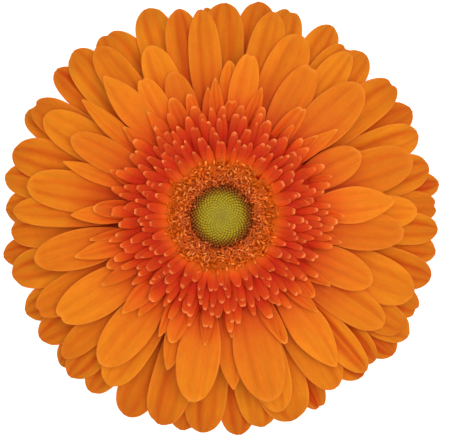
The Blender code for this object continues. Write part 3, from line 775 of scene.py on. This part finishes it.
def add_petal(piece, draw, number, ray, row):
    """One ray floret: a thin strap with long grooves, lifted edges and a toothed or notched tip."""
    azimuth, reach, width, tip, level = ray
    length = reach - ROOT_RADIUS
    turn = math.radians(azimuth)
    creased = azimuth in CREASED
    width *= row.fullness * WIDTH_SHARES.get(azimuth, 1.0)
    grooves = []
    for place in (-GROOVE_AT, 0.0, GROOVE_AT):
        deepest = CREASE_DEPTH if creased else GROOVE_DEPTHS[place == 0.0]
        middle = place + draw.uniform(-GROOVE_STRAY, GROOVE_STRAY)
        grooves.append((middle, draw.uniform(*GROOVE_SHARES) * deepest * row.grooving))
    slant, fold, roll, droop, curl, bend = drawn(draw, PETAL_RANGES)
    teeth = []
    for side in (-TEETH_AT, TEETH_AT):
        middle = side + draw.uniform(-TOOTH_STRAY, TOOTH_STRAY)
        teeth.append((middle, draw.uniform(*TOOTH_DEPTHS)))
    if tip == NOTCHED:
        teeth = [(draw.uniform(-NOTCH_STRAY, NOTCH_STRAY), NOTCH_DEPTH)]
    tone = draw.uniform(-1, 1)

    def surface(station, column):
        share = width_share(station, tip, row.bluntness, row.waist, row.widest)
        aside = column * share * width / 2
        sideways = column * share
        near_tip = smooth(TEETH_FROM, 1.0, station)
        cut = sum(depth * bell(sideways, middle, TOOTH_WIDTH) for middle, depth in teeth) * near_tip
        along = station * length - cut + slant * sideways * near_tip
        radius = ROOT_RADIUS + along
        groove = sum(depth * bell(column, middle, GROOVE_WIDTH) for middle, depth in grooves)
        groove *= smooth(0.05, 0.35, station) * (1 - 0.5 * smooth(0.9, 1.0, station))
        height = sheet_height(level, radius)
        height += (EDGE_LIFT_ROOT + EDGE_LIFT_TIP * station) * abs(column) ** 2.5 * share
        height += fold * abs(sideways) + roll * aside + droop * station**2
        height += curl * smooth(PETAL_CURL_FROM, 1.0, station) - groove * share
        height += VEIN_RIPPLE * math.cos(math.pi * VEINS_ACROSS * column) * share
        height += wave(PETAL_WAVE, PETAL_WAVE_SCALES, (along, aside, number))
        height += wave(EDGE_WAVE * abs(column) ** 3, EDGE_WAVE_SCALES, (along, column, number))
        point = placed(radius, height, turn, aside + bend * math.sin(math.pi * station))
        depth = between(PETAL_DEPTH, PETAL_EDGE_DEPTH, abs(column) ** 3)
        pale = row.paleness * smooth(0.95, 1.0, station + 0.02 * column**2)
        # pale along the edges: a painted highlight on the rims
        pale += EDGE_PAINTED_HIGHLIGHT * smooth(0.9, 1.0, abs(column)) * (1 - row.paleness)
        # dark is painted shade in the grooves, along a creased petal's middle and near the ruff, and also a
        # red row's own redness
        dark = groove + row.redness * RED_ROW_SHADE + CREASE_SHADE * creased * (1 - abs(column))
        dark = min(1.0, dark + row.shade * (1 - smooth(*RUFF_SHADE_RADII, radius)))
        return point, depth, (along * (1 - row.redness * RED_ROW_SHIFT), aside, number), (tone, pale, dark)

    piece.add_blade(surface, petal_stations(row.widest), evenly(PETAL_COLUMNS))


def make_rays(place, heights, rows, material, seed):
    """Rows of ray florets that stand out of their packed bases."""
    piece = Piece(f"{place}_ray_petals")
    draw = random.Random(seed)

    def packed_base(radius, height, azimuth):
        tube = HEAD_TUBE_DEPTH * abs(math.sin(azimuth * HEAD_TUBES / 2))
        point = placed(radius - HEAD_TUBE_DEPTH + tube, height, azimuth)
        return point, (0.0, azimuth * radius, 0.0), (0.0, 0.0, HEAD_SHADE)

    profile = [(HEAD_RADIUS, height) for height in evenly(4, *heights)]
    piece.add_turned(profile, HEAD_SIDES, packed_base)
    rays = [(ray, row) for row in rows for ray in stacked(row.rays, row.levels)]
    for number, (ray, row) in enumerate(rays, 1):
        add_petal(piece, draw, number, ray, row)
    piece.finished(f"{place}_ray_florets", material)


def narrow_rays():
    """Narrow pointed rays between the short ones of the table."""
    draw = random.Random(SEED + 6)
    rays = []
    for count in range(MORE_SHORT_RAYS):
        azimuth = math.degrees(count * GOLDEN_ANGLE) % 360
        reach = draw.uniform(*MORE_SHORT_REACH)
        rays.append((azimuth, reach, draw.uniform(*MORE_SHORT_WIDTH), POINTED))
    return rays


def dome_height(radius):
    """The height of the trans florets' tips at a distance from the axis."""
    out = (radius - TRANS_INNER_RADIUS) / (TRANS_RIM_RADIUS - TRANS_INNER_RADIUS)
    return TRANS_TOP_HEIGHT - (TRANS_TOP_HEIGHT - TRANS_RIM_HEIGHT) * max(0.0, out) ** TRANS_DOME_POWER


def core_height(radius):
    """The top of the head that the tongues stand out of."""
    return max(TRANS_CORE_BOTTOM, min(TRANS_CORE_TOP, dome_height(radius) - TRANS_CORE_BELOW))


def trans_tongues(counts, seed):
    """Azimuth, tip radius, reach and width of each trans floret, from the rim of the dome inwards."""
    draw = random.Random(seed)
    tongues = []
    for count in counts:
        inwards = count / (TRANS_COUNT - 1)
        radius = between(TRANS_RIM_RADIUS, TONGUE_INNER_RADIUS, inwards**TRANS_CROWDING)
        radius += TRANS_RADIUS_STRAY * draw.uniform(-1, 1) * math.sin(math.pi * inwards)
        azimuth = count * GOLDEN_ANGLE + TRANS_AZIMUTH_STRAY * draw.uniform(-1, 1)
        width = between(*TRANS_WIDTH, inwards) * (1 + TRANS_WIDTH_STRAY * draw.uniform(-1, 1))
        tongues.append((azimuth, radius, between(*TRANS_REACH, inwards), width))
    return tongues


def add_tongue(piece, draw, number, tongue, lower):
    """One trans floret: a plump tongue whose lobed lip turns up at its tip.

    lower is how far the tip lies under the dome.
    """
    azimuth, tip_radius, reach, width = tongue
    root_radius = max(TONGUE_ROOT_RADIUS, tip_radius - reach)
    root_height = max(core_height(root_radius) - TRANS_SUNK, TRANS_CORE_BOTTOM + TRANS_SUNK)
    root_height += TONGUE_ROOT_RISE * (1 - smooth(TONGUE_ROOT_RADIUS, TONGUE_INNER_RADIUS, root_radius))
    lip_share = (tip_radius - LIP_RADIUS - root_radius) / (tip_radius - root_radius)
    lip_turn = math.radians(draw.uniform(*LIP_TURNS))
    lobes = draw.choice(TONGUE_LOBES)
    lobe_cut, roll, hollow, yaw, knob, taper, closing = drawn(draw, TONGUE_RANGES)
    width *= 1 + TONGUE_STRAY * draw.uniform(-1, 1)
    tone = draw.uniform(-1, 1)

    def line(share):
        height = between(root_height, dome_height(tip_radius) - lower, share)
        height += TRANS_ARCH * 4 * share * (1 - share)
        return Vector((between(root_radius, tip_radius, share), height))

    lip_start = line(lip_share)
    ahead = (lip_start - line(lip_share - 0.02)).normalized()
    up = Vector((-ahead.y, ahead.x))
    body_length = (lip_start - line(0.0)).length
    length = body_length + LIP_RADIUS * lip_turn

    def cut_at(column):
        """How much of the lip's turn is missing between two lobes; its outermost columns are whole."""
        if abs(column) >= 0.99:
            return 0.0
        return lobe_cut * (0.5 + 0.5 * math.cos(math.pi * lobes * (column + 1))) ** 2

    def surface(station, column):
        body, lip = min(1.0, station), max(0.0, station - 1.0)
        turn = lip_turn * lip * (1 - cut_at(column))
        centre = line(body * lip_share) + LIP_RADIUS * (ahead * math.sin(turn) + up * (1 - math.cos(turn)))
        level = up * math.cos(turn) - ahead * math.sin(turn)
        along = body * body_length + LIP_RADIUS * lip_turn * lip
        rounding = max(0.0, 1 - (length - along) / closing)
        share = between(TONGUE_ROOT_SHARE, 1.0, smooth(0.0, 0.45, along / length))
        share *= 1 - taper * smooth(0.4, 1.0, along / length)
        share *= math.sqrt(1 - (TONGUE_TIP_END * rounding) ** TONGUE_TIP_POWER)
        aside = column * share * width / 2
        crown = TONGUE_CROWN * between(1.0, hollow, smooth(0.4, 1.0, body))
        centre = centre - level * (crown * column**2 * share - roll * aside)
        centre += level * TONGUE_RIPPLE * math.cos(3 * math.pi * column) * share
        point = placed(centre.x, centre.y, azimuth, aside + yaw * (centre.x - root_radius))
        depth = TONGUE_DEPTH * (1 - TONGUE_EDGE_THINNING * abs(column) ** 3)
        depth *= 1 - TONGUE_TIP_THINNING * rounding**2
        # pale tips are partly their own colour and partly a painted highlight; the pale sides are a painted
        # highlight
        pale = knob * (1 - smooth(0.1, 0.85, length - along))
        pale += TONGUE_SIDE_HIGHLIGHT * smooth(0.6, 1.0, abs(column)) * smooth(0.6, 1.0, body)
        # dark roots: painted shade under the tips of the tongues further in, and partly their own deeper red
        dark = (1 - smooth(0.3, 1.0, body)) * smooth(*TONGUE_SHADE_RADII, centre.x)
        return point, depth, (centre.x, aside, number), (tone, min(1.0, pale), dark)

    stations = [*TONGUE_STATIONS, *closing_in(LIP_STATIONS, 1.0, 2.0)]
    piece.add_blade(surface, stations, evenly(TONGUE_COLUMNS))


def make_trans_florets(material):
    """The ruff: the part's tongues and as many more between them, on their head."""
    piece = Piece("trans_tongues")
    profile = [(TRANS_UNDERSIDE_RADIUS, TRANS_CORE_BOTTOM)]
    profile += [(radius, core_height(radius)) for radius in (*TRANS_CORE_RADII, DISC_SEAT_RADIUS)]
    profile += [(DISC_SEAT_RADIUS, DISC_SEAT)]

    # the head, seen only in the gaps between tongues, is painted fully dark as shade
    def core(radius, height, azimuth):
        return placed(radius, height, azimuth), (radius, azimuth * radius, 0.0), (0.0, 0.0, 1.0)

    piece.add_turned(profile, TURNED_SIDES, core)
    draw = random.Random(SEED + 1)
    own = trans_tongues(range(TRANS_COUNT), SEED)
    step = (TRANS_COUNT - 1) / BETWEEN_TONGUES
    more = trans_tongues([(count + 0.5) * step for count in range(BETWEEN_TONGUES)], SEED + 5)
    for number, tongue in enumerate(own + more):
        add_tongue(piece, draw, number, tongue, BETWEEN_LOWER if number >= TRANS_COUNT else 0.0)
    piece.finished("trans_florets", material)


def add_lobe(piece, draw, turn, out, sample):
    """A narrow lobe that rises from the mouth of a floret's tube at one turn and curls back down.

    sample(point, share, pale) gives all that the piece takes for a point of the upright floret.
    """
    length, rise, curl, width, twist, paleness = drawn(draw, LOBE_RANGES)
    length *= between(*LOBE_GROWTH, out)
    width *= LOBE_WIDTH * between(*LOBE_GROWTH, out)
    paleness *= between(*LOBE_FADING, out)
    mouth, rim = TUBE_PROFILE[2]
    path = [Vector((mouth - LOBE_SUNK, rim - LOBE_SUNK))]
    for step in range(LOBE_STATIONS - 1):
        heading = math.radians(rise - curl * step / (LOBE_STATIONS - 2))
        ahead = Vector((math.cos(heading), math.sin(heading)))
        path.append(path[-1] + ahead * length / (LOBE_STATIONS - 1))

    def surface(station, column):
        centre = path[station]
        share = station / (LOBE_STATIONS - 1)
        aside = column * width / 2 * math.sqrt(1 - 0.9 * share**3)
        point = placed(centre.x, centre.y - LOBE_SAG * column**2, turn, aside + twist * share * length / 2)
        # pale towards the crest of the curl: partly the lobe's own peach colour, partly a painted highlight
        return sample(point, share, 0.15 + paleness * bell(share, 0.7, 0.4) * (1 - 0.4 * abs(column)))

    piece.add_blade(surface, range(LOBE_STATIONS), evenly(LOBE_COLUMNS))


def add_open_floret(piece, draw, number, out, radius, azimuth):
    """A short tube with a few lobes; out goes from 0 next to the buds to 1 at the rim of the disc."""
    foot_stray, lean_stray, tone_stray, maroon, golden, start = drawn(draw, FLORET_RANGES)
    foot = placed(radius, between(*FLORET_FEET, out) + foot_stray, azimuth)
    across = placed(0, 0, azimuth, 1).normalized()
    lean = Matrix.Rotation(between(*FLORET_LEANS, out) + lean_stray, 3, across)
    tone = between(*FLORET_TONES, out) + tone_stray
    maroon *= 1 - smooth(*MAROON_ZONE, out)
    golden += out

    def tube(ring, height, turn):
        pale = smooth(0.4, 1.2, height) * 0.6 * (1 - 0.4 * maroon)
        # the bottom of the mouth is painted in full shade; the rest of the tube is at least a little darker,
        # and maroon near the buds
        dark = 1.0 if ring < 0.2 else max(0.3, maroon)
        return foot + lean @ placed(ring, height, turn), (height, golden, number), (tone, pale, dark)

    def lobe_sample(point, share, pale):
        stained = maroon * (1 - 0.9 * smooth(*LOBE_LIT, share))
        look = (tone, pale * (1 - stained), stained)
        return foot + lean @ point, LOBE_DEPTH, (share, golden, number), look

    piece.add_turned(TUBE_PROFILE, TUBE_SIDES, tube)
    lobes = draw.choice(LOBES)
    for lobe in range(lobes):
        turn = start + 2 * math.pi * (lobe + draw.uniform(-LOBE_TURN_STRAY, LOBE_TURN_STRAY)) / lobes
        add_lobe(piece, draw, turn, out, lobe_sample)


def make_disc_florets(material):
    """The ring of open florets on its base."""
    piece = Piece("disc_open_florets")
    bottom = DISC_SEAT + GAP
    edge = bottom + DISC_BASE_EDGE
    top = (DISC_BASE_TOP_RADIUS, edge + DISC_BASE_RISE)
    profile = ((DISC_BASE_RADIUS, bottom), (DISC_BASE_RADIUS, edge), top)

    def base(radius, height, azimuth):
        out = (radius - DISC_BASE_TOP_RADIUS) / (DISC_BASE_RADIUS - DISC_BASE_TOP_RADIUS)
        look = (0.0, between(*DISC_BASE_PALENESS, out), between(*DISC_BASE_SHADES, out))
        return placed(radius, height, azimuth), (radius, out, azimuth), look

    piece.add_turned(profile, TURNED_SIDES, base)
    draw = random.Random(SEED + 2)
    inner, outer = FLORET_RING
    for count in range(OPEN_FLORETS):
        share = ((count + 0.5) / OPEN_FLORETS) ** FLORET_CROWDING
        stray = FLORET_STRAY * between(*STRAY_GROWTH, share**2)
        radius = math.sqrt(inner**2 + (outer**2 - inner**2) * share) + stray * draw.uniform(-1, 1)
        add_open_floret(piece, draw, count, share, radius, count * GOLDEN_ANGLE)
    piece.finished("disc_florets", material)


def cap_height(radius):
    """The height of the cap that the buds stand on."""
    out = min(1.0, radius / BUD_CAP_RADIUS)
    return BUD_CAP_BOTTOM + BUD_CAP_EDGE + BUD_CAP_RISE * (1 - out**2)


def bud_radius(count):
    """How far a bud is from the axis, by its place in the spiral."""
    return (BUD_CAP_RADIUS - BUD_EDGE_ROOM) * ((count + 0.5) / BUDS) ** BUD_SPIRAL_POWER


def add_bud(piece, draw, count):
    """One closed bud, round in the middle of the eye and slightly five-lobed further out."""
    radius = bud_radius(count)
    out = radius / BUD_CAP_RADIUS
    space = math.sqrt(math.pi * 2 * radius * (bud_radius(count + 1) - radius)) if count else FIRST_BUD_SPACE
    size = BUD_SHARE * space / 2
    rise, stray, tone, start = drawn(draw, BUD_RANGES)
    rise *= between(*BUD_HEIGHTS, out)
    centre = placed(radius + stray, cap_height(radius) - BUD_SUNK, count * GOLDEN_ANGLE)

    def dome(ring, height, turn):
        lobes = 1 + BUD_LOBE_DEPTH * height * out * math.cos(BUD_LOBES * (turn + start))
        point = centre + placed(ring * size * lobes, height * rise, turn)
        pale = 0.25 * smooth(0.8, 1.0, height) * (1 - out)
        # painted shade at the foot of each bud, stronger outwards where the buds are larger
        dark = (1 - smooth(0.1, 0.85, height)) * between(0.0, 0.85, smooth(0.25, 1.0, out))
        return point, (radius, turn, count), (tone, pale, dark)

    piece.add_turned(BUD_PROFILE, BUD_SIDES, dome)


def make_disc_buds(material):
    """A low cap with a spiral of closed buds, flat and crowded in the middle and larger outwards."""
    piece = Piece("disc_bud_eye")
    profile = [(BUD_CAP_RADIUS, BUD_CAP_BOTTOM)]
    profile += [(radius, cap_height(radius) - BUD_SUNK) for radius in BUD_CAP_RADII]

    def cap(radius, height, azimuth):
        # painted shade on the cap between the buds, darker outwards
        dark = smooth(0.1, 0.9, radius / BUD_CAP_RADIUS)
        return placed(radius, height, azimuth), (radius, azimuth * radius, 0.0), (0.0, 0.0, dark)

    piece.add_turned(profile, TURNED_SIDES, cap)
    draw = random.Random(SEED + 3)
    for count in range(BUDS):
        add_bud(piece, draw, count)
    piece.finished("disc_buds", material)


def make_stem(material):
    """A ribbed stub, cut straight, with its softer pith drawn back a little from the cut face."""
    piece = Piece("cut_stem")
    profile = (
        (0.2, PITH_RECESS),
        (PITH_RADIUS * 0.8, PITH_RECESS),
        (PITH_RADIUS, PITH_RECESS * 0.4),
        (PITH_RADIUS + PITH_RIM, 0.0),
        (STEM_RADIUS - STEM_BEVEL, 0.0),
        (STEM_RADIUS - 0.06, STEM_BEVEL * 0.5),
        (STEM_RADIUS, STEM_BEVEL * 1.4),
        *((STEM_RADIUS, STEM_TOP * share) for share in (0.3, 0.5, 0.7)),
        (STEM_RADIUS, STEM_TOP - STEM_BEVEL),
        (STEM_RADIUS - STEM_BEVEL, STEM_TOP),
    )

    def ribbed(radius, height, azimuth):
        ribs = STEM_RIB_HEIGHT * (math.cos(STEM_RIBS * azimuth) - 1) * smooth(2.2, 3.0, radius)
        tone = 0.2 * (1.0 - smooth(0.0, 0.3, height) if radius > 2 else 1.0)
        pale = 0.9 if height < 0.05 or radius < PITH_RADIUS + 0.3 else 0.5
        return placed(radius + ribs, height, azimuth), (height, azimuth * radius, 1.0), (tone, pale, 0.0)

    piece.add_turned(profile, STEM_SIDES, ribbed)
    piece.finished("stem", material)


def add_bract(piece, draw, number, line, width, azimuth):
    """One lance-shaped bract with a raised midrib on its outer side."""
    tone, lift, swing = drawn(draw, BRACT_RANGES)

    def surface(station, column):
        radius, height = curve_point(line, station)
        half = curve_point(BRACT_WIDTH_SHARES, station)[0] * width / 2
        height += BRACT_DEPTH / 2 + lift * station**2 + BRACT_HOLLOW * column**2 * station
        point = placed(radius, height, azimuth, column * half + swing * station**2)
        depth = BRACT_DEPTH * (1 - 0.6 * column**2) + BRACT_MIDRIB * bell(column, 0, 0.2)
        length = radius - line[0][0]
        # darker towards the root: painted shade under the bracts that overlap it
        return point, depth, (length, column * half, number), (tone, station, 0.4 * (1 - station))

    piece.add_blade(surface, closing_in(BRACT_STATIONS, 0.0, 1.0), evenly(BRACT_COLUMNS))


def make_involucre(material):
    """The green cup with its three rows of overlapping bracts."""
    piece = Piece("green_cup")
    draw = random.Random(SEED + 4)
    profile = [curve_point(CUP_PROFILE, share) for share in evenly(CUP_LEVELS, 0.0)]

    def cup(radius, height, azimuth):
        lumps = CUP_LUMPS * math.cos(BRACTS_PER_ROW * azimuth) * smooth(4, 8, radius)
        point = placed(radius - CUP_INSET + lumps, height, azimuth)
        # the cup under the bracts is painted a little darker, as shade
        return point, (height, azimuth * radius, 0.0), (0.0, 0.3, 0.3)

    piece.add_turned(profile, CUP_SIDES, cup)
    for row, (line, width) in enumerate(zip(BRACT_ROWS, BRACT_WIDTHS)):
        for count in range(BRACTS_PER_ROW):
            azimuth = 2 * math.pi * (count + row / 2) / BRACTS_PER_ROW
            add_bract(piece, draw, row * BRACTS_PER_ROW + count + 1, line, width, azimuth)
    piece.finished("involucre", material)


def make_stage():
    """A pale plain floor, a large soft lamp over the picture's upper right and an even surrounding light."""
    corners = [(x * FLOOR_HALF_M, y * FLOOR_HALF_M, 0) for x, y in ((-1, -1), (1, -1), (1, 1), (-1, 1))]
    mesh = bpy.data.meshes.new("floor")
    mesh.from_pydata(corners, [], [(0, 1, 2, 3)])
    finish = Finish("pale_floor", roughness=0.9, specular=0.1)
    finish.shader.inputs["Base Color"].default_value = colour(FLOOR_COLOUR)
    finish.shader.inputs["Emission Color"].default_value = (1, 1, 1, 1)
    finish.shader.inputs["Emission Strength"].default_value = FLOOR_GLOW
    mesh.materials.append(finish.material)
    floor = linked("floor", mesh)

    lamp = linked("soft_lamp", bpy.data.lights.new("soft_lamp", "AREA"))
    lamp.data.shape = "DISK"
    lamp.data.size = LAMP_SIZE_M
    lamp.data.energy = LAMP_POWER
    lamp.location = LAMP_AT_M
    lamp.rotation_euler = (-lamp.location).to_track_quat("-Z", "Y").to_euler()

    world = bpy.data.worlds.new("pale_surroundings")
    bpy.context.scene.world = world
    world.use_nodes = True
    background = world.node_tree.nodes["Background"]
    background.inputs["Color"].default_value = (1, 1, 1, 1)
    background.inputs["Strength"].default_value = SURROUNDING_LIGHT


def make_camera():
    """Straight above, through a long lens, with the flower where the photograph has it."""
    camera = linked("camera", bpy.data.cameras.new("camera"))
    camera.data.lens = LENS
    camera.data.sensor_width = SENSOR
    camera.data.clip_end = 20
    aside, down = ((size / 2 - axis) * PIXEL * MM for size, axis in zip(IMAGE_SIZE, AXIS_PIXEL))
    across = IMAGE_SIZE[0] * PIXEL * MM
    camera.location = (aside, -down, across * LENS / SENSOR + FOCUS_HEIGHT * MM)
    bpy.context.scene.camera = camera


back_row = Row(BACK_RAYS, BACK_LEVELS, bluntness=3.8, waist=1.0, grooving=2.3, shade=0.9, fullness=1.05)
middle_row = Row(
    MIDDLE_RAYS, MIDDLE_LEVELS, bluntness=2.7, waist=1.6, grooving=1.4, shade=0.7,
    fullness=1.02, widest=0.66, paleness=0.1,
)
front_row = Row(
    FRONT_RAYS, FRONT_LEVELS, bluntness=2.05, waist=2.2, grooving=0.9, shade=0.15,
    widest=0.67, redness=0.05, paleness=0.2,
)
short_row = Row(
    SHORT_RAYS, SHORT_LEVELS, bluntness=2.3, waist=1.4, grooving=1.0, shade=0.2,
    redness=0.1, paleness=0.5,
)
narrow_row = short_row._replace(rays=narrow_rays(), paleness=0.4)

petals = petal_finish()
make_rays("back", BACK_HEAD, (back_row,), petals, seed=11)
make_rays("middle", MIDDLE_HEAD, (middle_row,), petals, seed=12)
make_rays("front", FRONT_HEAD, (front_row, short_row, narrow_row), petals, seed=13)
make_trans_florets(trans_finish())
make_disc_florets(disc_finish())
make_disc_buds(bud_finish())
make_involucre(green_finish("green_bract", BRACT_STOPS, 0.35))
make_stem(green_finish("green_stem", STEM_STOPS, 0.4))
make_stage()
make_camera()
bpy.context.scene.view_settings.view_transform = "Standard"
